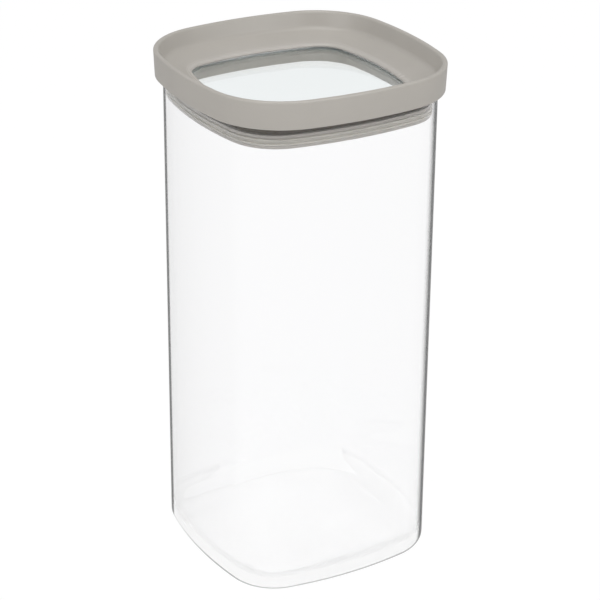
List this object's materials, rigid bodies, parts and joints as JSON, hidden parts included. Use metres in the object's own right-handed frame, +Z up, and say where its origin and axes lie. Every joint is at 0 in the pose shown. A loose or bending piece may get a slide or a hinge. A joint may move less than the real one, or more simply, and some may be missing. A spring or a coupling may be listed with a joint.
{
  "type": "lidded storage canister",
  "caption": "Tall square glass canister with bowed sides, closed by a lift-off stacking lid with a clear window, a raised rim and a gasketed plug; keeps dry food airtight.",
  "frame": {"origin": "middle of the foot, on the surface that the canister stands on", "axes": "+Z up along the jar's axis, +X and +Y square to two of its sides"},
  "size_m": [0.1094, 0.1094, 0.2247],
  "materials": {
    "jar_glass": "clear, fire-polished, smooth inside and outside",
    "lid_plastic": "warm grey moulded plastic, fine matt texture",
    "window_plastic": "clear moulded plastic with a faint cool tint, polished",
    "seal_silicone": "pale warm grey silicone, smooth, satin and slightly translucent"
  },
  "bodies": {
    "jar": {"glass_jar": "jar_glass"},
    "lid": {"lid_frame": "lid_plastic", "window_pane": "window_plastic", "window_seal": "seal_silicone", "window_retainer": "lid_plastic", "lid_gasket": "seal_silicone"}
  },
  "joints": [
    {"name": "lid_lift", "type": "slide", "parent": "jar", "child": "lid", "axis": [0, 0, 1], "range_m": [0, 0.12]}
  ]
}
